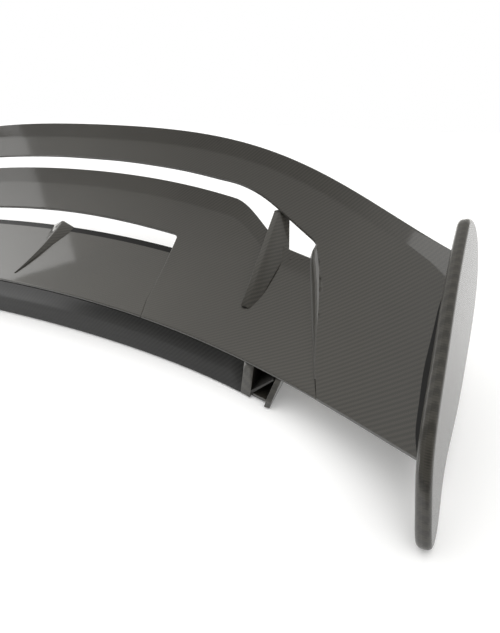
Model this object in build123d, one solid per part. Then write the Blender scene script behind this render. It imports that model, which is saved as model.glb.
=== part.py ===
from build123d import *
import math
import os

os.makedirs("parts", exist_ok=True)

# Racing rear wing: three stacked carbon elements that share one leading edge, on a bolted-down plinth,
# with a slot behind each of the two front elements and a canted plate on each tip.
# X runs across the car, +Y rearwards, +Z up. The origin is the centre of the four mounting inserts,
# on the underside. All lengths in millimetres.

# Driving dimensions
HALF_SPAN = 800.0  # leading edge centre to the wing tip
PLINTH_HEIGHT = 65.0  # underside of the plinth to the leading edge
LEAD_OFFSET = -25.0  # leading edge at the centre, measured from the origin
SKIN = 2.0  # carbon skin thickness
GLUE = 0.2  # bond line between bonded curved faces
TIP_CHORD_RISE = 0.505  # rise over run of the tip section, leading to trailing edge
PLATE_CANT = 15.0  # lean of the end plates, foot outwards, degrees
PLATE_THICK = 17.0
PLATE_EDGE_R = 6.0
PLATE_SHELL = 3.0
PLATE_RIM = 8.0  # solid width round the edge of each end plate
OUTLINE_STEPS = 30  # points used when the outline is moved inwards
PLATE_INSERT_R = 5.0
EDGE_RIB = 8.0  # width of the solid carbon edging round each foam core
TIP_RIB_SETBACK = 22.0  # where the foam of the upper element stops short of the tip
WEB = 4.0  # thickness of the step webs
FIN_THICK = 11.0
PLINTH_DEPTH = 140.0
PLINTH_HALF = 600.0  # half width of the plinth
POD_INNER = 544.0  # where the front panel stops
POD_OUTER = 562.0  # outboard face of the rib beside the open end pod
GASKET = 2.0
FLOOR = 4.0
INSERT_X = 430.0  # half spacing of the mounting inserts across the car
INSERT_Y = 25.0  # half spacing of the mounting inserts along the car
CENTRE_INSERT_BACK = 30.0  # how far the centre pair sits behind the corner pairs
INSERT_BORE_R = 2.5
INSERT_R = 6.0
INSERT_FLANGE_R = 9.0
INSERT_LENGTH = 18.0
STUD_R = 2.0
STUD_CLEARANCE = 0.1
STUD_SITES = (45.0, 115.0, 185.0)  # distances behind the leading edge at the tip
STUD_IN_TIP = 9.0  # short, because the tip curves up steeply
STUD_IN_PLATE = 14.0
STUD_DROP = 0.5  # the studs lean with the end plate, so they start a little under mid thickness
CREASE_HEIGHT = 22.0  # of the crease between the plinth's front face and its lip, at the centre
CREASE_DROP = 13.0  # how much lower that crease is at the pods
BULKHEADS = (-330.0, -120.0, 120.0, 330.0)

# Spanwise curves. Each is a value at the centre followed by its change with the square, fourth and
# sixth power of the span fraction, so every curve is symmetric about the centre.
LEADING = (0.0, -101.0, -28.0, -61.0)
UPPER_TRAILING = (374.0, -117.0, -157.0, -33.0)
UPPER_NEAR = (310.5, -106.0, -205.0, -211.0)
MID_TRAILING = (298.0, -151.0, -60.0, -7.0)
MID_NEAR = (208.5, -210.0, 175.0, 0.0)
LOWER_TRAILING = (185.0, -140.0, 7.0, 0.0)
LIFT = (0.0, -22.0, -76.0, 113.0)
MID_NOTCH = (395.0, 150.0, 51.0)  # start, length and depth of the forward sweep outboard on the mid element

# Camber of each element: slope at the leading edge, curvature, and the depth of the hollow ahead of
# the upturned trailing lip with the lip's width.
UPPER_CAMBER = (0.254, 0.00098, 5.0, 23.0)
MID_CAMBER = (0.105, 0.00128, 4.0, 30.0)
LOWER_CAMBER = (0.100, 0.00084, 0.0, 14.0)
EDGE_THICKNESS = 4.2  # of every element at its leading edge and at the end of its lip
FULL_THICKNESS = 10.0
CHORD_FRACTIONS = (0.0, 0.05, 0.15, 0.35, 0.68, 1.0)

# Plan outlines of the two steps, from the slot corner forward to the leading edge (right-hand side).
OUTER_STEP = (
    (588, 163), (593, 152), (605, 125), (618, 84), (630, 37), (641, -11), (653, -57), (668, -103), (688, -160),
)
INNER_STEP = ((299, 172), (302, 138), (308, 83), (319, 22), (333, -16), (352, -60))

STATIONS = (0, 80, 160, 240, 320, 390, 425, 460, 495, 530, 570, 620, 680, 750, 820)
FRONT_STATIONS = (-544, -450, -340, -180, 0, 180, 340, 450, 544)


def span_curve(terms, x):
    u = (x / HALF_SPAN) ** 2
    return terms[0] + terms[1] * u + terms[2] * u**2 + terms[3] * u**3


def lead_y(x):
    return LEAD_OFFSET + span_curve(LEADING, x)


def mid_trailing(x):
    start, length, depth = MID_NOTCH
    t = min(max((abs(x) - start) / length, 0.0), 1.0)
    return span_curve(MID_TRAILING, x) - depth * t * t * (3 - 2 * t)


def upper_trailing(x):
    return span_curve(UPPER_TRAILING, x)


def lower_trailing(x):
    return span_curve(LOWER_TRAILING, x)


def top_z(x, s, camber):
    slope, curve, _, _ = camber
    return PLINTH_HEIGHT + span_curve(LIFT, x) + slope * s + curve * s * s


def thickness(s, crease):
    growth = 1 - math.exp(-s / 18.0)
    return EDGE_THICKNESS + (FULL_THICKNESS - EDGE_THICKNESS) * growth - 2.0 * (s / crease) ** 4


def section(x, trailing, camber, above, below, front=0.0, lip=True):
    """Closed chordwise section of one layer; above and below give its depth under the outer surface."""
    chord = LEAD_OFFSET + trailing(x) - lead_y(x)
    hollow, lip_width = camber[2:]
    crease = chord - lip_width
    upper = []
    lower = []
    for f in CHORD_FRACTIONS:
        s = front + f * (crease - front)
        z = top_z(x, s, camber) - hollow * (s / crease) ** 2
        t = thickness(s, crease)
        upper.append((x, lead_y(x) + s, z - above(t)))
        lower.append((x, lead_y(x) + s, z - below(t)))
    edges = [Spline(*upper)]
    if lip:
        z = top_z(x, chord, camber)
        tip_upper = (x, lead_y(x) + chord, z - above(EDGE_THICKNESS))
        tip_lower = (x, lead_y(x) + chord, z - below(EDGE_THICKNESS))
        edges += [Line(upper[-1], tip_upper), Line(tip_upper, tip_lower), Line(tip_lower, lower[-1])]
    else:
        edges.append(Line(upper[-1], lower[-1]))
    edges += [Spline(*reversed(lower)), Line(lower[0], upper[0])]
    return Face(Wire(edges))


def layer(trailing, camber, above, below, **shape):
    stations = [-x for x in STATIONS[:0:-1]] + list(STATIONS)
    return loft([section(x, trailing, camber, above, below, **shape) for x in stations])


def largest(shape):
    return max(shape.solids(), key=lambda solid: solid.volume)


def mirrored(solid):
    return mirror(solid, about=Plane.YZ)


def prism(points, low=-150.0, high=450.0):
    """Vertical prism over a closed plan outline."""
    return Pos(0, 0, low) * extrude(make_face(Polyline(*points, close=True)), high - low)


def curve_points(function, half, count=16):
    xs = [-half + 2 * half * i / count for i in range(count + 1)]
    return [(x, LEAD_OFFSET + function(x)) for x in xs]


def step_points(step, shift=0.0):
    return [(x + shift, y + LEAD_OFFSET) for x, y in step]


def bay_cutter(near_terms, step, corner, inset=0.0):
    """Prism over everything ahead of a rear band, between the two steps."""
    right = step_points(step, inset)
    half = right[0][0] - corner
    rear = [(x, y + inset) for x, y in curve_points(lambda x: span_curve(near_terms, x), half)]
    rear_right = [(half + corner * 0.7, rear[-1][1] - corner * 0.55)]
    left = [(-x, y) for x, y in right]
    front = [(right[-1][0], -600.0), (-right[-1][0], -600.0)]
    rear_left = [(-x, y) for x, y in rear_right]
    return prism(rear + rear_right + right + front + left[::-1] + rear_left)


def inside_steps(step, inset=0.0):
    """Prism over everything between the two steps, front to back."""
    right = step_points(step, -inset)
    outline = [(right[0][0], 600.0)] + right + [(right[-1][0], -600.0)]
    return prism(outline + [(-x, y) for x, y in reversed(outline)])


tip_lead = Vector(HALF_SPAN, lead_y(HALF_SPAN), top_z(HALF_SPAN, 0, UPPER_CAMBER))
tip_along = Vector(0, 1, TIP_CHORD_RISE).normalized()
tip_down = Vector(0, tip_along.Z, -tip_along.Y)
cant = math.radians(PLATE_CANT)
plate_down = Vector(math.sin(cant), 0, 0) + tip_down * math.cos(cant)
plate_out = tip_along.cross(plate_down)
if plate_out.X < 0:
    plate_out = plate_out * -1
plate_plane = Plane(origin=tip_lead, x_dir=tip_along, z_dir=plate_out)


# End plate outline in its own plane: distance along the tip chord from the leading edge, height above it
PLATE_OUTLINE = (
    (328, 8), (206, 23), (90, 23), (-10, 13), (-56, -20), (-77, -51), (-64, -63),
    (-10, -62), (85, -90), (200, -118), (300, -128), (356, -108), (377, -72), (364, -22),
)


def plate_outline(inset):
    """The end plate's outline, or the same curve moved inwards."""
    curve = Spline(*PLATE_OUTLINE, periodic=True)
    if not inset:
        return make_face(curve)
    moved = []
    for i in range(OUTLINE_STEPS):
        point = curve.position_at(i / OUTLINE_STEPS)
        along = curve.tangent_at(i / OUTLINE_STEPS)
        moved.append((point.X - inset * along.Y, point.Y + inset * along.X))
    return make_face(Spline(*moved, periodic=True))


def plate_body(depth, thick, inset=0.0):
    """Slice of the end plate, starting at depth outboard of its inner face."""
    return plate_plane.offset(1.5 + depth) * extrude(plate_outline(inset), thick)


inner_half_space = plate_plane.offset(1.5) * Pos(100, 0, 150) * Box(2400, 2400, 300)


def trim_tips(solid):
    return solid - inner_half_space - mirrored(inner_half_space)


def between_tips(reach):
    return Box(2 * reach, 2000, 2000)


upper_bay = bay_cutter(UPPER_NEAR, OUTER_STEP, 7.0)
upper_bay_core = bay_cutter(UPPER_NEAR, OUTER_STEP, 7.0, inset=EDGE_RIB)
mid_bay = bay_cutter(MID_NEAR, INNER_STEP, 14.0)
mid_bay_core = bay_cutter(MID_NEAR, INNER_STEP, 14.0, inset=EDGE_RIB)
mid_reach = inside_steps(OUTER_STEP)
mid_reach_core = inside_steps(OUTER_STEP, EDGE_RIB)
lower_reach = inside_steps(INNER_STEP)
lower_reach_core = inside_steps(INNER_STEP, EDGE_RIB)


def surface(t):
    return 0.0


def under_top_skin(t):
    return SKIN


def over_bottom_skin(t):
    return t - SKIN


def under_top_glue(t):
    return SKIN + GLUE


def over_bottom_glue(t):
    return t - SKIN - GLUE


def underside(t):
    return t


def far_above(t):
    return -200.0


def clear_above(t):
    return -GLUE


def clear_below(t):
    return t + GLUE


def element_layers(trailing, camber):
    """Top skin, bottom skin, filling, and a clearance body round all three, before trimming to plan."""
    top = layer(trailing, camber, surface, under_top_skin)
    bottom = layer(trailing, camber, over_bottom_skin, underside)
    filling = layer(trailing, camber, under_top_glue, over_bottom_glue, front=EDGE_RIB, lip=False)
    envelope = layer(trailing, camber, clear_above, clear_below)
    return top, bottom, filling, envelope


parts = {}

top, bottom, filling, envelope = element_layers(upper_trailing, UPPER_CAMBER)
parts["upper_element_top_skin"] = trim_tips(top) - upper_bay
parts["upper_element_bottom_skin"] = trim_tips(bottom) - upper_bay
filling_of_upper = filling
upper_filling = (filling & between_tips(HALF_SPAN - TIP_RIB_SETBACK)) - upper_bay
parts["upper_element_core"] = upper_filling - upper_bay_core
parts["upper_element_edge_rib"] = upper_filling & upper_bay_core
upper_envelope = envelope

top, bottom, filling, envelope = element_layers(mid_trailing, MID_CAMBER)
parts["mid_element_top_skin"] = (top & mid_reach) - mid_bay
parts["mid_element_bottom_skin"] = (bottom & mid_reach) - mid_bay
mid_filling = (filling & mid_reach) - mid_bay
parts["mid_element_core"] = (mid_filling & mid_reach_core) - mid_bay_core
parts["mid_element_edge_rib"] = mid_filling - parts["mid_element_core"]
mid_envelope = envelope

top, bottom, filling, envelope = element_layers(lower_trailing, LOWER_CAMBER)
parts["lower_element_top_skin"] = top & lower_reach
parts["lower_element_bottom_skin"] = bottom & lower_reach
lower_filling = filling & lower_reach
parts["lower_element_core"] = lower_filling & lower_reach_core
parts["lower_element_edge_ribs"] = lower_filling - lower_reach_core
lower_envelope = envelope


# Solid regions over the undersides of the mid and lower elements, for trimming what stands beneath them
over_mid = layer(mid_trailing, MID_CAMBER, far_above, clear_below)
over_lower = layer(lower_trailing, LOWER_CAMBER, far_above, clear_below) & lower_reach
over_upper = layer(upper_trailing, UPPER_CAMBER, far_above, clear_below)
upper_body = upper_envelope - upper_bay


# Step webs: they close the height between two elements along each step
def between_undersides(x, low_trailing, low_camber, high_trailing, high_camber, first, last):
    low = []
    high = []
    for i in range(6):
        s = first + i * (last - first) / 5
        for points, trailing, camber in ((low, low_trailing, low_camber), (high, high_trailing, high_camber)):
            crease = LEAD_OFFSET + trailing(x) - lead_y(x) - camber[3]
            z = top_z(x, s, camber) - camber[2] * (s / crease) ** 2 - thickness(s, crease)
            points.append((x, lead_y(x) + s, z + (3.0 if points is high else 0.0)))
    return Face(Wire([Spline(*high), Line(high[-1], low[-1]), Spline(*reversed(low)), Line(low[0], high[0])]))


def step_web(step, over, stations, *layers):
    strip = prism(step_points(step) + step_points(step, WEB)[::-1])
    return largest((loft([between_undersides(x, *layers) for x in stations]) & strip) - over)


outer_layers = (mid_trailing, MID_CAMBER, upper_trailing, UPPER_CAMBER, 14.0, 221.0)
inner_layers = (lower_trailing, LOWER_CAMBER, mid_trailing, MID_CAMBER, 40.0, 176.0)
pairs = {}
pairs["outer_step_web"] = step_web(OUTER_STEP, over_upper, (560, 600, 640, 680, 720), *outer_layers)
pairs["inner_step_web"] = step_web(INNER_STEP, over_mid, (270, 300, 330, 360), *inner_layers)


# Step fairings: a moulded ramp on the mid element, from its surface up to the edge of the outboard panel.
# Each section's foot, as span position and distance behind the centre of the leading edge, and how far back
# its head meets the step.
FAIRING = (
    (583.0, 148.0, 160.0), (588.0, 131.0, 136.0), (594.5, 112.0, 113.5), (601.0, 92.7, 92.7), (612.5, 59.3, 59.3),
    (623.5, 25.8, 25.8), (635.0, -7.5, -7.5), (645.6, -40.6, -40.6), (656.0, -72.0, -72.0),
)


def outer_step_x(y):
    for (x1, y1), (x2, y2) in zip(OUTER_STEP, OUTER_STEP[1:]):
        if y2 <= y <= y1:
            return x1 + (x2 - x1) * (y1 - y) / (y1 - y2)
    return OUTER_STEP[0][0]


ramp = []
for x, behind, head_behind in FAIRING:
    y = behind + LEAD_OFFSET
    head_y = head_behind + LEAD_OFFSET
    edge = outer_step_x(head_behind) + 0.5
    low = top_z(x, y - lead_y(x), MID_CAMBER) - 4.0
    high = top_z(edge, head_y - lead_y(edge), UPPER_CAMBER) + 2.0
    back = 0.8 / math.hypot(edge - x, head_y - y)
    shoulder = (edge - (edge - x) * back, head_y - (head_y - y) * back, high)
    ramp.append(make_face(Polyline((x, y, low), (edge, head_y, low), (edge, head_y, high), shoulder, close=True)))
pairs["outer_step_fairing"] = largest(loft(ramp) - mid_envelope - over_upper)

# Slot fins: an upright plate from the mid element up under the near edge of the upper band. Its plane
# passes through the front and rear of its foot and the front of its head.
fin_front = Vector(504, lead_y(504) + 95, top_z(504, 95, MID_CAMBER))
fin_rear = Vector(519.4, 148.2, 140.1)
fin_head = Vector(493.1, 197.7, 183.8)
FIN_PROFILE = ((21.7, 68.0), (21.7, 75.0), (206.0, 189.0), (214.0, 187.0), (149.0, 134.0))  # (Y, Z)
fin_normal = (fin_rear - fin_front).cross(fin_head - fin_front)


def on_fin_plane(y, z):
    return (fin_front.X - (fin_normal.Y * (y - fin_front.Y) + fin_normal.Z * (z - fin_front.Z)) / fin_normal.X, y, z)


fin_face = make_face(Polyline(*[on_fin_plane(y, z) for y, z in FIN_PROFILE], close=True))
fin = Pos(-FIN_THICK / 2, 0, 0) * extrude(fin_face, FIN_THICK, dir=(1, 0, 0))
pairs["slot_fin"] = largest(fin - mid_envelope - upper_body)

# Centre fin: a low ridge on the lower element that widens towards the slot
def four_corner(left_low, right_low, right_high, left_high):
    return make_face(Polyline(left_low, right_low, right_high, left_high, close=True))


CENTRE_FIN = ((25, 3.0, 1.5), (70, 5.5, 5.0), (115, 14.0, 8.0), (155, 31.0, 10.5), (184, 38.0, 12.0))
ridge = []
for s, half, height in CENTRE_FIN:
    y = lead_y(0) + s
    z = top_z(0, s, LOWER_CAMBER)
    crest = 0.5 + half * 0.06
    ridge.append(four_corner((-half, y, z - 4), (half, y, z - 4), (crest, y, z + height), (-crest, y, z + height)))
parts["centre_fin"] = loft(ridge) - lower_envelope

# End plates: two bonded shells round a foam core, held to the tip by studs
plate = fillet(plate_body(0, PLATE_THICK).edges(), PLATE_EDGE_R)
plate_cavity = plate_body(PLATE_SHELL, PLATE_THICK - 2 * PLATE_SHELL, inset=PLATE_RIM)
plate_shell = plate - plate_cavity
plate_foam = plate_body(PLATE_SHELL + GLUE, PLATE_THICK - 2 * (PLATE_SHELL + GLUE), inset=PLATE_RIM + GLUE)
inner_side = plate_plane.offset(1.5 + PLATE_THICK / 2) * Pos(0, 0, -50) * Box(1500, 1500, 100)
tip_block = (filling_of_upper & prism([(HALF_SPAN - TIP_RIB_SETBACK, -500), (900, -500), (900, 500),
             (HALF_SPAN - TIP_RIB_SETBACK, 500)])) - inner_half_space

stud_sites = []
for s in STUD_SITES:
    crease = LEAD_OFFSET + upper_trailing(HALF_SPAN) - lead_y(HALF_SPAN) - UPPER_CAMBER[3]
    sag = UPPER_CAMBER[2] * (s / crease) ** 2 + thickness(s, crease) / 2 + STUD_DROP
    site = Vector(HALF_SPAN, lead_y(HALF_SPAN) + s, top_z(HALF_SPAN, s, UPPER_CAMBER) - sag)
    stud_sites.append(plate_plane.to_local_coords(site))


# Sealing beads: a glossy black cove in the corner between the upper element's tip and the end plate,
# given as distances behind the leading edge with the bead's width there
BEAD = (
    (4.0, 2.5), (22.0, 7.0), (42.0, 10.0), (74.0, 12.0), (106.0, 13.5), (138.0, 12.5),
    (167.0, 10.5), (195.0, 8.0), (214.0, 4.0),
)
BEAD_EDGE = 0.5  # height of its thin edge
BEAD_RISE = 0.3  # extra height at the plate, over the width


def upper_surface(x, y):
    s = y - lead_y(x)
    crease = LEAD_OFFSET + upper_trailing(x) - lead_y(x) - UPPER_CAMBER[3]
    return top_z(x, s, UPPER_CAMBER) - UPPER_CAMBER[2] * (s / crease) ** 2


def tip_x(y, z):
    """Span position of the end plate's inner face."""
    return HALF_SPAN + (1.4 - plate_out.Y * (y - tip_lead.Y) - plate_out.Z * (z - tip_lead.Z)) / plate_out.X


def bead_section(s, width):
    y = lead_y(HALF_SPAN) + s
    base = upper_surface(HALF_SPAN, y)
    x = tip_x(y, base) - width
    near = upper_surface(x, y)
    high = base + BEAD_EDGE + BEAD_RISE * width
    return make_face(Polyline(
        (x, y, near + BEAD_EDGE), (x, y, near - 3.0), (tip_x(y, base - 3.0), y, base - 3.0),
        (tip_x(y, high), y, high), close=True,
    ))


bead = loft([bead_section(s, width) for s, width in BEAD])
pairs["tip_sealing_bead"] = largest(bead - upper_envelope)


def along_studs(radius, first, last):
    """One cylinder per stud, square to the end plate, between two depths from its inner face."""
    rods = [Pos(p.X, p.Y, first + (last - first) / 2) * Cylinder(radius, last - first) for p in stud_sites]
    return [plate_plane.offset(1.5) * rod for rod in rods]


def less_all(solid, cutters):
    for cutter in cutters:
        solid = solid - cutter
    return solid


stud_holes = along_studs(STUD_R + STUD_CLEARANCE, -STUD_IN_TIP, STUD_IN_PLATE + 0.5)
pocket_holes = along_studs(PLATE_INSERT_R, PLATE_SHELL, PLATE_THICK - PLATE_SHELL)
pairs["end_plate_inner_shell"] = less_all(plate_shell & inner_side, stud_holes)
pairs["end_plate_outer_shell"] = plate_shell - inner_side
pairs["end_plate_core"] = less_all(plate_foam, pocket_holes)
pairs["tip_rib"] = less_all(tip_block, stud_holes)
pairs["end_plate_inserts"] = [less_all(p, stud_holes) for p in pocket_holes]
pairs["end_plate_studs"] = along_studs(STUD_R, -STUD_IN_TIP + 0.5, STUD_IN_PLATE)


# Plinth
def crease_z(x):
    return CREASE_HEIGHT - CREASE_DROP * (abs(x) / POD_INNER) ** 3


def front_section(x):
    y = lead_y(x)
    top = top_z(x, 0, MID_CAMBER) - EDGE_THICKNESS
    crease = crease_z(x)
    return make_face(Polyline(
        (x, y, top - 0.1), (x, y - 15.0, crease), (x, y - 18.0, 0.0),
        (x, y - 14.5, 0.0), (x, y - 11.8, crease), (x, y + 3.4, top - 1.3), close=True,
    ))


def floor_outline(inset, half):
    xs = [-half + 2 * half * i / 14 for i in range(15)]
    front = [(x, lead_y(x) - 12.2 + inset) for x in xs]
    rear = [(x, lead_y(x) + PLINTH_DEPTH - inset) for x in reversed(xs)]
    return front + rear


def trim_top(solid):
    return solid - over_mid - over_lower


def side_panel(x, thick, setback=3.3, forward=0.0):
    """Upright rib across the plinth, shaped to sit behind the front panel and ahead of the rear one."""
    y = lead_y(x)
    top = top_z(x, 0, MID_CAMBER) - EDGE_THICKNESS
    outline = make_face(Polyline(
        (x, y - 11.0 - forward, GASKET + FLOOR), (x, y - 10.8 - forward, crease_z(x) + 1.0),
        (x, y + 4.6 - forward, top - 1.5),
        (x, y + PLINTH_DEPTH - setback, 160.0), (x, y + PLINTH_DEPTH - setback, GASKET + FLOOR), close=True,
    ))
    return trim_top(extrude(outline, thick, dir=(1, 0, 0)))


parts["plinth_front_panel"] = loft([front_section(x) for x in FRONT_STATIONS])
floor = prism(floor_outline(0.0, 588.0), GASKET, GASKET + FLOOR)
seal_outer = prism(floor_outline(1.0, 586.0), 0.0, GASKET)
seal_inner = prism(floor_outline(13.0, 574.0), -1.0, GASKET + 1)
parts["plinth_seal"] = seal_outer - seal_inner
rear_strip = prism(
    [(x, y - 3.0) for x, y in floor_outline(0.0, 588.0)[15:]] + floor_outline(0.0, 588.0)[15:][::-1],
    GASKET + FLOOR, 200.0,
)
parts["plinth_rear_panel"] = trim_top(rear_strip)
parts["plinth_bulkheads"] = [side_panel(x - 2, 4.0) for x in BULKHEADS]

insert_sites = [(x, y) for x in (-INSERT_X, INSERT_X) for y in (-INSERT_Y, INSERT_Y)]
insert_sites += [(0, CENTRE_INSERT_BACK + y) for y in (-INSERT_Y, INSERT_Y)]
insert_holes = [Pos(x, y, 10) * Cylinder(INSERT_R, 40) for x, y in insert_sites]
bores = [Pos(x, y, 10) * Cylinder(INSERT_BORE_R, 60) for x, y in insert_sites]
parts["plinth_floor"] = less_all(floor, insert_holes)
inserts = []
for x, y in insert_sites:
    barrel = Pos(x, y, INSERT_LENGTH / 2) * Cylinder(INSERT_R, INSERT_LENGTH)
    flange = Pos(x, y, GASKET / 2) * Cylinder(INSERT_FLANGE_R, GASKET)
    inserts.append(less_all(barrel + flange, bores))
parts["mounting_inserts"] = inserts
block_z = GASKET + FLOOR
parts["hardpoint_blocks"] = [
    less_all(Pos(x, y, block_z + 6) * Box(44, 34, 12), insert_holes) for x, y in insert_sites
]

flange = loft([front_section(x) for x in (POD_INNER + 0.3, (POD_INNER + POD_OUTER) / 2, POD_OUTER)])
pairs["pod_rib"] = side_panel(POD_OUTER - WEB, WEB, forward=2.0) + flange
cap_profile = make_face(Polyline(
    (589, 900, 0), (598, 900, 0), (600, 900, 10), (616, 900, 62), (607, 900, 62), (591, 900, 10), close=True,
))
cap_y = lead_y(PLINTH_HALF)
cap_z = top_z(PLINTH_HALF, 0, MID_CAMBER) - EDGE_THICKNESS
cap_side = make_face(Polyline(
    (500, cap_y - 18, 0), (500, cap_y - 15, 10), (500, cap_y - 1, cap_z - 2),
    (500, cap_y + PLINTH_DEPTH, 160), (500, cap_y + PLINTH_DEPTH, 0), close=True,
))
cap = extrude(cap_profile, 1800, dir=(0, -1, 0)) & extrude(cap_side, 300, dir=(1, 0, 0))
pairs["end_cap"] = trim_top(cap)
gusset = make_face(Polyline(
    (561.4, 900, 6.3), (564.5, 900, 6.3), (599.2, 900, 40), (597.4, 900, 42), (561.4, 900, 9.5), close=True,
))
gusset_depth = prism([(500, cap_y - 2), (700, cap_y - 2), (700, cap_y + 90), (500, cap_y + 90)])
pairs["pod_gusset"] = trim_top(extrude(gusset, 1800, dir=(0, -1, 0)) & gusset_depth)

for name, solids in pairs.items():
    group = solids if isinstance(solids, list) else [solids]
    singles = [solid for shape in group for solid in shape.solids()]
    parts[name + "_right"] = singles
    parts[name + "_left"] = [mirrored(solid) for solid in singles]

for name, solids in parts.items():
    group = solids if isinstance(solids, list) else [solids]
    singles = [solid for shape in group for solid in shape.solids()]
    whole = singles[0] if len(singles) == 1 else Compound(children=singles)
    export_step(whole, "parts/%s.step" % name)
    print(name, len(whole.solids()), round(sum(x.volume for x in whole.solids())), whole.bounding_box().size)
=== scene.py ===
import math

import bmesh
import bpy
import numpy as np
from mathutils import Matrix, Vector


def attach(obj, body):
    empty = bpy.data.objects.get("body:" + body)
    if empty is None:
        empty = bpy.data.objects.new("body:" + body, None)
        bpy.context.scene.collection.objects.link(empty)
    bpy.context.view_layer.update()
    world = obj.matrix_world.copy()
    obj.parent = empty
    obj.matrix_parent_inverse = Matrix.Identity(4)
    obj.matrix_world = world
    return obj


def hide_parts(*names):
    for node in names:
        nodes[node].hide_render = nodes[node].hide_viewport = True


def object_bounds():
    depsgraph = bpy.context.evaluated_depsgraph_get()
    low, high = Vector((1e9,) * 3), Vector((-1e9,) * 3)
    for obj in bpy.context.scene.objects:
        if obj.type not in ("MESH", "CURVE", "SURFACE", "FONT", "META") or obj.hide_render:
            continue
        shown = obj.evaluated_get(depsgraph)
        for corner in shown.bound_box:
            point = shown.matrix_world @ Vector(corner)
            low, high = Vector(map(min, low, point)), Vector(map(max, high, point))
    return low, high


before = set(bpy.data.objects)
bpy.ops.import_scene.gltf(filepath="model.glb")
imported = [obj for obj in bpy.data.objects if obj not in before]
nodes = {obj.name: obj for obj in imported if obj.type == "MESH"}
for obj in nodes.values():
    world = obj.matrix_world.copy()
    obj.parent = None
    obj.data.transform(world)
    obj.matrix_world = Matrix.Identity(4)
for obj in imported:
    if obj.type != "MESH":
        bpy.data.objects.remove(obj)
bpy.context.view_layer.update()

MM = 0.001

# ---------------------------------------------------------------- camera
CAMERA_AT = (0.7761, -0.5813, 0.4614)
YAW, PITCH, ROLL = math.radians(23.8), math.radians(31.5), math.radians(-2.1)
LENS = 25.87


def make_camera():
    forward = Vector((-math.sin(YAW) * math.cos(PITCH), math.cos(YAW) * math.cos(PITCH), -math.sin(PITCH)))
    level = Vector((math.cos(YAW), math.sin(YAW), 0.0))
    upright = level.cross(forward)
    right = level * math.cos(ROLL) + upright * math.sin(ROLL)
    up = upright * math.cos(ROLL) - level * math.sin(ROLL)
    data = bpy.data.cameras.new("camera")
    data.lens = LENS
    data.sensor_width = 36.0
    data.clip_start = 0.02
    data.clip_end = 60.0
    camera = bpy.data.objects.new("camera", data)
    turn = Matrix((right, up, -forward)).transposed()
    camera.matrix_world = Matrix.Translation(CAMERA_AT) @ turn.to_4x4()
    bpy.context.scene.collection.objects.link(camera)
    bpy.context.scene.camera = camera


make_camera()

# ---------------------------------------------------------------- the wing's own curves, in millimetres
HALF_SPAN = 800.0
LEAD_OFFSET = -25.0
PLINTH_HEIGHT = 65.0
LEADING = (0.0, -101.0, -28.0, -61.0)
UPPER_TRAILING = (374.0, -117.0, -157.0, -33.0)
# near edge of the upper band: span positions, and its distance there behind the centre of the leading edge
UPPER_NEAR_X = (0, 90, 180, 270, 350, 400, 440, 480, 520, 550, 582, 640, 720, 810)
UPPER_NEAR_Y = (311.5, 310, 304, 294, 280.5, 270.5, 256.5, 236, 210, 189.5, 166.5, 118, 30, -120)
MID_TRAILING = (298.0, -151.0, -60.0, -7.0)
MID_NEAR = (208.5, -210.0, 175.0, 0.0)
LOWER_TRAILING = (185.0, -140.0, 7.0, 0.0)
LIFT = (0.0, -22.0, -76.0, 113.0)
MID_NOTCH = (395.0, 150.0, 51.0)
UPPER_CAMBER = (0.254, 0.00098, 5.0, 23.0)
MID_CAMBER = (0.105, 0.00128, 4.0, 30.0)
LOWER_CAMBER = (0.100, 0.00084, 0.0, 14.0)
EDGE_THICKNESS = 4.2
FULL_THICKNESS = 10.0
GROWTH_LENGTH = 18.0  # over which the thickness builds up behind the leading edge
LIP_THINNING = 2.0  # thickness lost between there and the lip's crease
OUTER_STEP = (
    (588, 163), (593, 152), (605, 125), (618, 84), (630, 37),
    (641, -11), (653, -57), (668, -103), (688, -160),
)
INNER_STEP = ((299, 172), (302, 138), (308, 83), (319, 22), (333, -16), (352, -60))


def span_curve(terms, x):
    u = (x / HALF_SPAN) ** 2
    return terms[0] + terms[1] * u + terms[2] * u**2 + terms[3] * u**3


def lead_y(x):
    return LEAD_OFFSET + span_curve(LEADING, x)


def chord_to(terms):
    return lambda x: span_curve(terms, x) - span_curve(LEADING, x)


def mid_chord(x):
    start, length, depth = MID_NOTCH
    t = min(max((abs(x) - start) / length, 0.0), 1.0)
    return chord_to(MID_TRAILING)(x) - depth * t * t * (3 - 2 * t)


upper_chord = chord_to(UPPER_TRAILING)
mid_near = chord_to(MID_NEAR)
lower_chord = chord_to(LOWER_TRAILING)


def smooth_table(xs, ys):
    """A smooth curve through the table, by cubic pieces with sloped ends."""
    xs = np.array(xs, float)
    ys = np.array(ys, float)
    slopes = np.gradient(ys, xs)
    slopes[0] = 0.0

    def value(x):
        x = min(abs(x), xs[-1])
        i = min(int(np.searchsorted(xs, x, "right")) - 1, len(xs) - 2)
        width = xs[i + 1] - xs[i]
        t = (x - xs[i]) / width
        rise = ys[i] * (1 - t) ** 2 * (1 + 2 * t) + ys[i + 1] * t * t * (3 - 2 * t)
        return float(rise + width * t * (1 - t) * (slopes[i] * (1 - t) - slopes[i + 1] * t))

    return value


upper_near_y = smooth_table(UPPER_NEAR_X, UPPER_NEAR_Y)


def upper_near(x):
    return upper_near_y(x) - span_curve(LEADING, x)


def step_x(step, near, corner, s):
    """Where the step lies at a distance s behind the leading edge, rounding inboard into its slot corner."""
    xs = [p[0] for p in step]
    back = [p[1] - span_curve(LEADING, p[0]) for p in step]
    reach = near(xs[0] - corner)
    ease = min(max((s - reach + corner) / corner, 0.0), 1.0)
    return float(np.interp(s, back[::-1], xs[::-1])) - corner * ease**2.2


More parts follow.
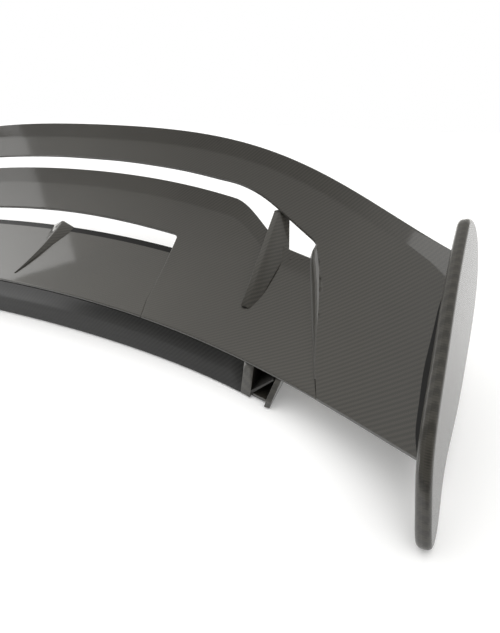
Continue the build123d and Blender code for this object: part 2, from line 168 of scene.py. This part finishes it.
def thickness(s, crease):
    growth = 1 - math.exp(-s / GROWTH_LENGTH)
    return EDGE_THICKNESS + (FULL_THICKNESS - EDGE_THICKNESS) * growth - LIP_THINNING * (s / crease) ** 4


def skin_height(x, s, camber, chord):
    """Height of the outer surface and the local laminate depth."""
    slope, curve, hollow, lip = camber
    crease = chord - lip
    z = PLINTH_HEIGHT + span_curve(LIFT, x) + slope * s + curve * s * s
    if s < crease:
        # the hollow eases into the lip over a few millimetres
        return z - hollow * (s / crease) ** 2, thickness(s, crease)
    along = (s - crease) / lip
    depth = thickness(crease, crease)
    return z - hollow * (1 - along), depth + (EDGE_THICKNESS - depth) * along


SKIN = 2.0
EDGE_TAPER = 28.0  # how far in from a rim the laminate starts to thin
RIM_GAP = 0.04  # left between the two skins' walls at the rim
TIP_LEAN_START = 770.0  # span position from which the skins' sides start to lean with the end plate
TIP_LEAN_LENGTH = 30.0
TIP_LEAN = 0.239  # millimetres outwards for each millimetre down
PLATE_GAP = 1.2  # between the tip and the end plate's inner face, square to that face
PLATE_ACROSS = 0.965926  # cosine of the plate's 15 degree lean
PLATE_ALONG = 0.116671  # change of the plate's position with distance behind the leading edge
PLATE_DOWN = 0.231031  # change of the plate's position with height


def tip_x(s):
    """Where the end plate's inner face meets the tip, at a distance s behind the leading edge."""
    rise = UPPER_CAMBER[0] * s + UPPER_CAMBER[1] * s * s
    return HALF_SPAN + (PLATE_GAP + PLATE_ALONG * s - PLATE_DOWN * rise) / PLATE_ACROSS


class Sheet:
    """A moulded sheet laid out as welded patches in plan, built as a top and a bottom skin."""

    def __init__(self, camber, chord):
        self.camber = camber
        self.chord = chord
        self.points = []
        self.keys = {}
        self.faces = []

    def point(self, x, s):
        key = (round(x, 1), round(s, 1))
        if key not in self.keys:
            self.keys[key] = len(self.points)
            self.points.append((x, s))
        return self.keys[key]

    def patch(self, low, high, left, right, across, along):
        """Grid between two edges; left and right give the (x, s) of each row's two ends."""
        grid = []
        for v in along:
            first, last = left(v), right(v)
            row = [first]
            for a in across[1:-1]:
                x = first[0] * (1 - a) + last[0] * a
                row.append((x, low(x) * (1 - v) + high(x) * v))
            grid.append([self.point(x, s) for x, s in row + [last]])
        for near, far in zip(grid, grid[1:]):
            for i in range(len(near) - 1):
                corners = list(dict.fromkeys([near[i], near[i + 1], far[i + 1], far[i]]))
                if len(corners) >= 3:
                    self.faces.append(corners)

    def mirror(self):
        """Adds the left-hand copy of everything laid out so far."""
        count = len(self.faces)
        twin = [self.point(-x, s) for x, s in list(self.points)]
        self.faces += [[twin[i] for i in reversed(face)] for face in self.faces[:count]]

    def rim(self):
        edges = set()
        for face in self.faces:
            edges.update(zip(face, face[1:] + face[:1]))
        return [(a, b) for a, b in edges if (b, a) not in edges]

    def skin(self, name, upper, material, edge_round, lip_shade_material=None):
        """One skin, its wall turned towards the other skin round the rim."""
        rim = self.rim()
        on_rim = {i for pair in rim for i in pair}
        plan = np.array(self.points)
        border = plan[sorted(on_rim)]
        reach = np.array([np.sqrt(((border - p) ** 2).sum(1)).min() for p in plan])
        outer = []
        inner = []
        for i, (x, s) in enumerate(self.points):
            z, t = skin_height(x, s, self.camber, self.chord(x))
            slim = max(0.0, 1 - reach[i] / EDGE_TAPER) ** 1.6
            t = t * (1 - slim) + min(t, EDGE_THICKNESS) * slim
            half = t / 2 - RIM_GAP
            wall = half if i in on_rim else min(SKIN, half)
            outboard = min(max((abs(x) - TIP_LEAN_START) / TIP_LEAN_LENGTH, 0.0), 1.0)
            lean = TIP_LEAN * outboard * math.copysign(1, x)
            for row, depth in ((outer, 0.0 if upper else t), (inner, wall if upper else t - wall)):
                row.append(((x + lean * depth) * MM, (lead_y(x) + s) * MM, (z - depth) * MM))
        count = len(outer)
        faces = [tuple(f) for f in self.faces]
        faces += [tuple(i + count for i in reversed(f)) for f in self.faces]
        faces += [(b, a, a + count, b + count) for a, b in rim]
        if not upper:
            faces = [tuple(reversed(f)) for f in faces]
        mesh = bpy.data.meshes.new(name)
        mesh.from_pydata(outer + inner, [], faces)
        mesh.update()
        cloth = [self.cloth_place(x, s) for x, s in self.points]
        layer = mesh.uv_layers.new(name="cloth")
        for loop in mesh.loops:
            layer.data[loop.index].uv = cloth[loop.vertex_index % count]
        mesh.attributes.new("bevel_weight_edge", "FLOAT", "EDGE")
        sharp = mesh.attributes.new("sharp_edge", "BOOLEAN", "EDGE")
        rounded = {frozenset(pair) for pair in rim}
        square = {frozenset((a + count, b + count)) for a, b in rim}
        weight = mesh.attributes["bevel_weight_edge"]
        for edge in mesh.edges:
            key = frozenset(edge.vertices)
            weight.data[edge.index].value = 1.0 if key in rounded else 0.0
            sharp.data[edge.index].value = key in square
        mesh.polygons.foreach_set("use_smooth", [True] * len(mesh.polygons))
        obj = bpy.data.objects.new(name, mesh)
        bpy.context.scene.collection.objects.link(obj)
        bevel = obj.modifiers.new("rounded_rim", "BEVEL")
        bevel.limit_method = "WEIGHT"
        bevel.width = edge_round * MM
        bevel.segments = 4
        obj.data.materials.append(material)
        # the second material, if given, goes on the lip behind the crease; for the lower element it is
        # near-black twill, as painted shade
        if lip_shade_material:
            obj.data.materials.append(lip_shade_material)
            for polygon in mesh.polygons:
                middle = polygon.center / MM
                behind = middle.y - lead_y(middle.x)
                polygon.material_index = int(behind > self.chord(middle.x) - self.camber[3])
        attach(obj, "root")
        return obj

    def cloth_place(self, x, s):
        """Length of cloth across the car and along the curved section."""
        slope, curve = self.camber[:2]
        end = slope + 2 * curve * s
        swept = [math.asinh(g) + g * math.sqrt(1 + g * g) for g in (slope, end)]
        return x * MM, (swept[1] - swept[0]) / (4 * curve) * MM


def even(count, *extra):
    """Fractions from 0 to 1 in equal steps, with some more between them."""
    return sorted({round(i / count, 6) for i in range(count + 1)} | set(extra))


# ---------------------------------------------------------------- materials
class Nodes:
    """A material with short ways to add to its node tree."""

    def __init__(self, name):
        self.material = bpy.data.materials.new(name)
        self.material.use_nodes = True
        self.tree = self.material.node_tree
        self.shader = self.tree.nodes["Principled BSDF"]

    def add(self, kind, **settings):
        node = self.tree.nodes.new(kind)
        for key, value in settings.items():
            setattr(node, key, value)
        return node

    def link(self, source, target):
        self.tree.links.new(source, target)

    def math(self, operation, first, second=None, third=None):
        node = self.add("ShaderNodeMath", operation=operation)
        for socket, value in zip(node.inputs, (first, second, third)):
            if value is None:
                continue
            if isinstance(value, (int, float)):
                socket.default_value = value
            else:
                self.link(value, socket)
        return node.outputs[0]

    def noise(self, vector, scale, detail=2.0, roughness=0.5):
        node = self.add("ShaderNodeTexNoise")
        node.inputs["Scale"].default_value = scale
        node.inputs["Detail"].default_value = detail
        node.inputs["Roughness"].default_value = roughness
        self.link(vector, node.inputs["Vector"])
        return node.outputs["Fac"]

    def ramp(self, factor, *stops):
        node = self.add("ShaderNodeValToRGB")
        elements = node.color_ramp.elements
        while len(elements) < len(stops):
            elements.new(0.5)
        for element, (place, color) in zip(elements, stops):
            element.position = place
            element.color = (*color, 1.0)
        self.link(factor, node.inputs["Fac"])
        return node.outputs["Color"]


TOW = 0.002


def cloth_material(name, plane, low, high, coat_rough=0.07, base_rough=0.42, bump=0.25, gloss=1.0):
    """Clear-coated 2x2 twill: four-tow steps, brighter where the tow on top runs across the chord."""
    n = Nodes(name)
    if plane == "uv":
        where = n.add("ShaderNodeUVMap", uv_map="cloth").outputs["UV"]
        place = n.add("ShaderNodeTexCoord").outputs["Object"]
        split = n.add("ShaderNodeSeparateXYZ")
        n.link(where, split.inputs[0])
        u, v = split.outputs["X"], split.outputs["Y"]
    else:
        place = n.add("ShaderNodeTexCoord").outputs["Object"]
        split = n.add("ShaderNodeSeparateXYZ")
        n.link(place, split.inputs[0])
        u, v = split.outputs[plane[0].upper()], split.outputs[plane[1].upper()]
    a = n.math("DIVIDE", u, TOW)
    b = n.math("DIVIDE", v, TOW)
    steps = n.math("SUBTRACT", n.math("FLOOR", a), n.math("FLOOR", b))
    turn = n.math("WRAP", steps, 4.0, 0.0)
    over = n.math("LESS_THAN", turn, 1.5)
    crown_a = n.math("SINE", n.math("MULTIPLY", n.math("FRACT", a), math.pi))
    crown_b = n.math("SINE", n.math("MULTIPLY", n.math("FRACT", b), math.pi))
    mixed = n.add("ShaderNodeMix", data_type="FLOAT")
    n.link(over, mixed.inputs["Factor"])
    n.link(crown_a, mixed.inputs[2])
    n.link(crown_b, mixed.inputs[3])
    crown = mixed.outputs[0]
    broad = n.noise(place, 5.0, 2.0)
    fibre = n.noise(place, 900.0, 1.0)
    tone = n.math("MULTIPLY_ADD", over, 0.55, n.math("MULTIPLY", crown, 0.3))
    tone = n.math("ADD", tone, n.math("MULTIPLY", n.math("SUBTRACT", fibre, 0.5), 0.2))
    tone = n.math("ADD", tone, n.math("MULTIPLY", n.math("SUBTRACT", broad, 0.5), 0.5))
    color = n.ramp(tone, (0.0, low), (1.0, high))
    n.link(color, n.shader.inputs["Base Color"])
    rough = n.math("MULTIPLY_ADD", over, 0.08, base_rough)
    n.link(rough, n.shader.inputs["Roughness"])
    lift = n.add("ShaderNodeBump")
    lift.inputs["Strength"].default_value = bump
    lift.inputs["Distance"].default_value = 0.0004
    n.link(crown, lift.inputs["Height"])
    n.link(lift.outputs["Normal"], n.shader.inputs["Normal"])
    # long, shallow flow marks in the clear coat
    flow = n.add("ShaderNodeBump")
    flow.inputs["Strength"].default_value = 0.12
    flow.inputs["Distance"].default_value = 0.0006
    n.link(n.noise(place, 22.0, 2.0), flow.inputs["Height"])
    n.link(flow.outputs["Normal"], n.shader.inputs["Coat Normal"])
    n.shader.inputs["Specular IOR Level"].default_value = 0.5 * gloss
    n.shader.inputs["Coat Weight"].default_value = gloss
    n.shader.inputs["Coat Roughness"].default_value = coat_rough
    n.shader.inputs["Coat IOR"].default_value = 1.5
    return n.material


def plain_material(name, low, high, roughness, scale, metallic=0.0, bump=0.1, depth=0.0003):
    """Mottled solid finish with uneven roughness and a fine surface grain."""
    n = Nodes(name)
    place = n.add("ShaderNodeTexCoord").outputs["Object"]
    coarse = n.noise(place, scale * 0.15, 3.0)
    fine = n.noise(place, scale, 3.0, 0.6)
    n.link(n.ramp(coarse, (0.3, low), (0.7, high)), n.shader.inputs["Base Color"])
    n.link(n.math("MULTIPLY_ADD", fine, 0.12, roughness - 0.06), n.shader.inputs["Roughness"])
    lift = n.add("ShaderNodeBump")
    lift.inputs["Strength"].default_value = bump
    lift.inputs["Distance"].default_value = depth
    n.link(fine, lift.inputs["Height"])
    n.link(lift.outputs["Normal"], n.shader.inputs["Normal"])
    n.shader.inputs["Metallic"].default_value = metallic
    return n.material


# darkest and lightest colour of the cloth and of its darker copies, and of the plain finishes
WEAVE_LOW = (0.020, 0.0185, 0.015)
WEAVE_HIGH = (0.050, 0.046, 0.037)
# painted shade: BLACK, DARK_LOW, DARK_HIGH and FIN_HIGH darken the same twill on the lower element's lip,
# the plinth's front and rear panels and the slot fins' sides
BLACK = (0.002, 0.002, 0.002)
DARK_LOW = (0.005, 0.005, 0.005)
DARK_HIGH = (0.017, 0.017, 0.016)
FIN_HIGH = (0.042, 0.039, 0.034)
LAMINATE = ((0.012, 0.012, 0.011), (0.03, 0.029, 0.027))
FOAM = ((0.62, 0.52, 0.30), (0.72, 0.62, 0.40))
STEEL = ((0.50, 0.51, 0.52), (0.62, 0.62, 0.60))
ALUMINIUM = ((0.62, 0.63, 0.64), (0.74, 0.75, 0.76))
RUBBER = ((0.0010, 0.0010, 0.0010), (0.003, 0.003, 0.003))

carbon = cloth_material("twill_carbon", "uv", WEAVE_LOW, WEAVE_HIGH)
carbon_plan = cloth_material("twill_carbon_plan", "xy", WEAVE_LOW, WEAVE_HIGH)
carbon_side = cloth_material("twill_carbon_side", "yz", WEAVE_LOW, WEAVE_HIGH)
carbon_plate = cloth_material("twill_carbon_plate", "yz", WEAVE_LOW, WEAVE_HIGH, 0.1, gloss=0.75)
# painted shade: the slot fins' sides get the same twill in darker colours
fin_side_shade = cloth_material("twill_fin_side_painted_shade", "yz", DARK_LOW, FIN_HIGH, bump=0.4, gloss=0.25)
# painted shade: the plinth's front and rear panels get the same twill in darker colours
plinth_panel_shade = cloth_material("twill_plinth_panel_painted_shade", "xz", DARK_LOW, DARK_HIGH, 0.12, bump=0.1, gloss=0.45)
# painted shade: the lower element's lip gets the same twill near black
lip_shade = cloth_material("twill_lip_painted_shade", "uv", BLACK, DARK_LOW, 0.1, bump=0.1, gloss=0.3)
laminate = plain_material("bare_laminate", *LAMINATE, 0.5, 500.0, bump=0.3)
foam = plain_material("core_foam", *FOAM, 0.85, 900.0, bump=0.6, depth=0.0006)
steel = plain_material("zinc_steel", *STEEL, 0.33, 700.0, metallic=1.0)
aluminium = plain_material("machined_aluminium", *ALUMINIUM, 0.28, 500.0, metallic=1.0)
rubber = plain_material("seal_rubber", *RUBBER, 0.6, 700.0, bump=0.3)

# ---------------------------------------------------------------- the three moulded elements
INNER_CORNER = 8.0
OUTER_CORNER = 6.0


def zero(x):
    return 0.0


def crease_of(chord, camber):
    return lambda x: chord(x) - camber[3]


def straight(x, low, high):
    """An edge along the car at a fixed x."""
    return lambda v: (x, low(x) * (1 - v) + high(x) * v)


def rounded_step(step, near, corner):
    """A step's edge from the leading edge to its rounded slot corner."""
    reach = near(step[0][0] - corner)
    return lambda v: (step_x(step, near, corner, v * reach), v * reach)


def meeting(edge, low, high):
    """An edge given as x at a distance s, met by each row in turn."""

    def end(v):
        x = edge(0.0)
        for _ in range(60):
            x = 0.5 * x + 0.5 * edge(low(x) * (1 - v) + high(x) * v)
        return x, low(x) * (1 - v) + high(x) * v

    return end


def plain_step(step):
    """The step's line without the rounded corner, as x at a distance s."""
    back = [y - span_curve(LEADING, x) for x, y in step]
    return lambda s: float(np.interp(s, back[::-1], [p[0] for p in step][::-1]))


def band(sheet, near, chord, camber, left_x, right, across, rows):
    """The part of an element behind a slot, with close rows either side of the lip's crease."""
    crease = crease_of(chord, camber)
    depth = crease(0.0) - near(0.0)
    lip = camber[3]
    for low, high, along in (
        (near, crease, even(rows, 2.5 / depth, 1 - 6 / depth, 1 - 2.5 / depth)),
        (crease, chord, even(4, 2.5 / lip, 1 - 2.5 / lip)),
    ):
        end = meeting(right, low, high) if callable(right) else straight(right, low, high)
        sheet.patch(low, high, straight(left_x, low, high), end, across, along)


CORNER_ROWS = (0.945, 0.955, 0.975, 0.98, 0.985, 0.99, 0.995)

upper = Sheet(UPPER_CAMBER, upper_chord)
outer_corner = OUTER_STEP[0][0] - OUTER_CORNER
columns = even(16, 0.02, 0.98)
band(upper, upper_near, upper_chord, UPPER_CAMBER, 0.0, outer_corner, even(60), 9)
band(upper, upper_near, upper_chord, UPPER_CAMBER, outer_corner, tip_x, columns, 9)
outer_edge = rounded_step(OUTER_STEP, upper_near, OUTER_CORNER)
upper.patch(zero, upper_near, outer_edge, meeting(tip_x, zero, upper_near), columns, even(30, *CORNER_ROWS))
upper.mirror()

mid = Sheet(MID_CAMBER, mid_chord)
inner_corner = INNER_STEP[0][0] - INNER_CORNER
outer_line = plain_step(OUTER_STEP)
columns = even(28, 0.01, 0.99)
band(mid, mid_near, mid_chord, MID_CAMBER, 0.0, inner_corner, even(32), 8)
band(mid, mid_near, mid_chord, MID_CAMBER, inner_corner, outer_line, columns, 8)
inner_edge = rounded_step(INNER_STEP, mid_near, INNER_CORNER)
mid.patch(zero, mid_near, inner_edge, meeting(outer_line, zero, mid_near), columns, even(24, *CORNER_ROWS))
mid.mirror()

lower = Sheet(LOWER_CAMBER, lower_chord)
band(lower, zero, lower_chord, LOWER_CAMBER, 0.0, plain_step(INNER_STEP), even(32, 0.99), 22)
lower.mirror()

for name, sheet, ribs in (
    ("upper_element", upper, "upper_element_edge_rib"),
    ("mid_element", mid, "mid_element_edge_rib"),
    ("lower_element", lower, "lower_element_edge_ribs"),
):
    # painted shade: the lower element's lip takes the near-black twill
    lip = lip_shade if sheet is lower else None
    top = sheet.skin("visual_" + name + "_top_skin", True, carbon, 1.5, lip)
    bottom = sheet.skin("visual_" + name + "_bottom_skin", False, carbon, 1.5)
    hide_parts(name + "_top_skin")
    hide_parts(name + "_bottom_skin", ribs)


# ---------------------------------------------------------------- slot fins and step fairings
def mesh_piece(name, points, faces, material, rounding, replaced_node, face_up=None):
    """A small moulded piece with rounded edges that stands for a CAD node; face_up, if given, is the
    material for faces turned upwards, and a darker material given for the rest paints shade on its sides.
    """
    mesh = bpy.data.meshes.new(name)
    mesh.from_pydata([tuple(c * MM for c in p) for p in points], [], faces)
    mesh.update()
    solid = bmesh.new()
    solid.from_mesh(mesh)
    bmesh.ops.recalc_face_normals(solid, faces=solid.faces)
    solid.to_mesh(mesh)
    solid.free()
    obj = bpy.data.objects.new(name, mesh)
    bpy.context.scene.collection.objects.link(obj)
    mesh.polygons.foreach_set("use_smooth", [True] * len(mesh.polygons))
    bevel = obj.modifiers.new("rounded_edges", "BEVEL")
    bevel.limit_method = "ANGLE"
    bevel.angle_limit = math.radians(35)
    bevel.width = rounding * MM
    bevel.segments = 3
    obj.data.materials.append(material)
    # faces turned upwards take face_up; the rest keep the first material, which paints shade on the slot
    # fins' sides
    if face_up:
        obj.data.materials.append(face_up)
        for polygon in mesh.polygons:
            polygon.material_index = int(polygon.normal.z > 0.6)
    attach(obj, "root")
    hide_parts(replaced_node)
    return obj


def tube_faces(count, sections):
    """Faces of a closed body made of equal polygons, one after another."""
    faces = [tuple(range(count)), tuple((sections - 1) * count + i for i in reversed(range(count)))]
    for j in range(sections - 1):
        for i in range(count):
            k = (i + 1) % count
            faces.append((j * count + i, j * count + k, (j + 1) * count + k, (j + 1) * count + i))
    return faces


# Slot fins: the CAD plate's plane through three points, with its head run up into the band's thinned edge
FIN_HALF = 5.5  # half thickness
FIN_FRONT = Vector((504.0, 21.7, 72.0))
FIN_REAR = Vector((519.4, 148.2, 140.1))
FIN_HEAD = Vector((493.1, 197.7, 183.8))
# outline from the side, as Y and Z
FIN_PROFILE = ((21.7, 68.0), (21.7, 75.0), (199.5, 184.0), (207.0, 184.5), (212.0, 183.0), (149.0, 134.0))
fin_normal = (FIN_REAR - FIN_FRONT).cross(FIN_HEAD - FIN_FRONT)


def fin_x(y, z):
    """Where the fin's middle plane lies at a place seen from the side."""
    return FIN_FRONT.x - (fin_normal.y * (y - FIN_FRONT.y) + fin_normal.z * (z - FIN_FRONT.z)) / fin_normal.x


def fin_points():
    return [(fin_x(y, z) + shift, y, z) for shift in (-FIN_HALF, FIN_HALF) for y, z in FIN_PROFILE]


# Step fairings: each section's foot, as span position and distance behind the centre of the leading edge,
# and how far back its head meets the step
FAIRING = (
    (583.0, 148.0, 161.0), (588.0, 131.0, 136.0), (594.5, 112.0, 113.5),
    (601.0, 92.7, 92.7), (612.5, 59.3, 59.3), (623.5, 25.8, 25.8),
    (635.0, -7.5, -7.5), (645.6, -40.6, -40.6), (656.0, -72.0, -72.0),
)
STEP_OVERLAP = 1.2  # how far the head of each section runs in under the edge of the outboard panel
HEAD_DROP = 2.6  # from the panel's surface down to the head
FOOT_SINK = 0.6  # how deep the foot sits in the mid element's surface
step_back = [y for x, y in reversed(OUTER_STEP)]
step_across = [x for x, y in reversed(OUTER_STEP)]


def fairing_points():
    points = []
    for x, behind, head_behind in FAIRING:
        y = behind + LEAD_OFFSET
        head_y = head_behind + LEAD_OFFSET
        edge = float(np.interp(head_behind, step_back, step_across)) + STEP_OVERLAP
        foot = skin_height(x, y - lead_y(x), MID_CAMBER, mid_chord(x))[0]
        panel = skin_height(edge, head_y - lead_y(edge), UPPER_CAMBER, upper_chord(edge))[0]
        head = max(panel - HEAD_DROP, foot + 0.4)
        sunk = foot - FOOT_SINK
        # a third of the way out the ramp is already half way up
        bulge = (x + 0.35 * (edge - x), y + 0.35 * (head_y - y), foot + 0.52 * (head - foot))
        points += [(x, y, sunk), (x, y, foot + 0.05), bulge, (edge, head_y, head), (edge, head_y, sunk)]
    return points


for side, sign in (("right", 1), ("left", -1)):
    points = [(sign * x, y, z) for x, y, z in fin_points()]
    faces = tube_faces(len(FIN_PROFILE), 2)
    # painted shade: the fin's sides take the darker twill, its faces turned up take the plain twill
    mesh_piece("visual_slot_fin_" + side, points, faces, fin_side_shade, 1.2, "slot_fin_" + side, carbon_plan)
    points = [(sign * x, y, z) for x, y, z in fairing_points()]
    faces = tube_faces(len(points) // len(FAIRING), len(FAIRING))
    mesh_piece("visual_step_fairing_" + side, points, faces, carbon_side, 0.25, "outer_step_fairing_" + side)

# ---------------------------------------------------------------- finishes on the carried-over parts
FINISH = {
    "centre_fin": carbon_plan,
    # painted shade on the plinth's front and rear panels: the darker twill
    "plinth_front_panel": plinth_panel_shade,
    "plinth_rear_panel": plinth_panel_shade,
    "plinth_seal": rubber,
    "plinth_bulkheads": laminate,
    "plinth_floor": carbon_plan,
    "mounting_inserts": steel,
    "hardpoint_blocks": aluminium,
    "upper_element_core": foam,
    "mid_element_core": foam,
    "lower_element_core": foam,
    "outer_step_web": carbon_side,
    "inner_step_web": carbon_side,
    "tip_sealing_bead": rubber,
    "end_plate_inner_shell": carbon_side,
    "end_plate_outer_shell": carbon_plate,
    "end_plate_core": foam,
    "tip_rib": laminate,
    "end_plate_inserts": aluminium,
    "end_plate_studs": steel,
    "pod_rib": carbon_side,
    "end_cap": carbon_side,
    "pod_gusset": laminate,
}

# width of the rounding on the edges seen close up
ROUNDING = {
    "plinth_front_panel": 0.8,
    "pod_rib": 0.5,
    "end_cap": 0.8,
    "pod_gusset": 0.3,
    "centre_fin": 0.6,
}


def dress(obj, material, rounding=0.0):
    obj.data.materials.clear()
    obj.data.materials.append(material)
    if rounding:
        weld = obj.modifiers.new("weld", "WELD")
        weld.merge_threshold = 0.00002
        bevel = obj.modifiers.new("rounded_edges", "BEVEL")
        bevel.limit_method = "ANGLE"
        bevel.angle_limit = math.radians(40)
        bevel.width = rounding * MM
        bevel.segments = 3


replaced = ("top_skin", "bottom_skin", "edge_rib", "edge_ribs")
for name, obj in nodes.items():
    kind = name.removesuffix("_right").removesuffix("_left")
    if kind not in ("slot_fin", "outer_step_fairing") and not name.endswith(replaced):
        dress(obj, FINISH[kind], ROUNDING.get(kind, 0.0))

# ---------------------------------------------------------------- floor
FLOOR_HALF = 2.2
FLOOR_DROP = 0.0005  # below the part's lowest point

floor_mesh = bpy.data.meshes.new("floor")
corners = [(x * FLOOR_HALF, y * FLOOR_HALF, 0.0) for x, y in ((-1, -1), (1, -1), (1, 1), (-1, 1))]
floor_mesh.from_pydata(corners, [], [(0, 1, 2, 3)])
floor = bpy.data.objects.new("floor", floor_mesh)
bpy.context.scene.collection.objects.link(floor)
floor.location = (0.0, 0.0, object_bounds()[0][2] - FLOOR_DROP)
paper = Nodes("paper")
paper.shader.inputs["Base Color"].default_value = (0.9, 0.9, 0.9, 1.0)
paper.shader.inputs["Roughness"].default_value = 0.9
paper.shader.inputs["Specular IOR Level"].default_value = 0.1
paper.shader.inputs["Emission Color"].default_value = (1.0, 1.0, 1.0, 1.0)
paper.shader.inputs["Emission Strength"].default_value = 0.16
floor_mesh.materials.append(paper.material)

# ---------------------------------------------------------------- light
# The room: white to look at, and for what the gloss reflects a dim grey studio, darker in front and
# brighter along the horizon
world = bpy.data.worlds.new("studio")
world.use_nodes = True
sky = world.node_tree
backdrop = sky.nodes["Background"]
backdrop.inputs["Color"].default_value = (1.0, 1.0, 1.0, 1.0)
room = sky.nodes.new("ShaderNodeBackground")
room.inputs["Color"].default_value = (1.0, 0.99, 0.96, 1.0)
towards = sky.nodes.new("ShaderNodeTexCoord")
parts_of = sky.nodes.new("ShaderNodeSeparateXYZ")
sky.links.new(towards.outputs["Generated"], parts_of.inputs[0])


def along_axis(axis, start, end, from_value, to_value):
    """A value that eases from one to the other with the direction's share along an axis."""
    node = sky.nodes.new("ShaderNodeMapRange")
    node.interpolation_type = "SMOOTHSTEP"
    node.inputs["From Min"].default_value = start
    node.inputs["From Max"].default_value = end
    node.inputs["To Min"].default_value = from_value
    node.inputs["To Max"].default_value = to_value
    sky.links.new(parts_of.outputs[axis], node.inputs["Value"])
    return node.outputs["Result"]


both = sky.nodes.new("ShaderNodeMath")
both.operation = "MULTIPLY"
sky.links.new(along_axis("Y", -0.4, 0.15, 0.16, 0.62), both.inputs[0])
sky.links.new(along_axis("Z", 0.16, 0.04, 1.0, 3.2), both.inputs[1])
sky.links.new(both.outputs[0], room.inputs["Strength"])
rays = sky.nodes.new("ShaderNodeLightPath")
choice = sky.nodes.new("ShaderNodeMixShader")
sky.links.new(rays.outputs["Is Camera Ray"], choice.inputs["Fac"])
sky.links.new(room.outputs[0], choice.inputs[1])
sky.links.new(backdrop.outputs[0], choice.inputs[2])
sky.links.new(choice.outputs[0], sky.nodes["World Output"].inputs["Surface"])
bpy.context.scene.world = world
bpy.context.scene.view_settings.view_transform = "Standard"


def soft_light(name, place, target, width, height, radiance, glossy=True, diffuse=True):
    """A flat panel of light that points from its place to a target."""
    data = bpy.data.lights.new(name, "AREA")
    data.shape = "RECTANGLE"
    data.size = width
    data.size_y = height
    data.energy = radiance * math.pi * width * height
    lamp = bpy.data.objects.new(name, data)
    lamp.location = place
    lamp.rotation_euler = (Vector(target) - Vector(place)).to_track_quat("-Z", "Y").to_euler()
    lamp.visible_glossy = glossy
    lamp.visible_diffuse = diffuse
    bpy.context.scene.collection.objects.link(lamp)


soft_light("overhead", (0.0, 1.0, 3.2), (0.0, 1.0, 0.0), 9.0, 9.0, 1.05, glossy=False)
soft_light("left_card", (-1.35, 0.35, 1.02), (0.0, 0.2, 0.2), 0.9, 0.6, 1.25, diffuse=False)
soft_light("front_card", (-1.45, -1.15, 0.3), (0.0, 0.0, 0.1), 0.6, 0.7, 2.4, diffuse=False)
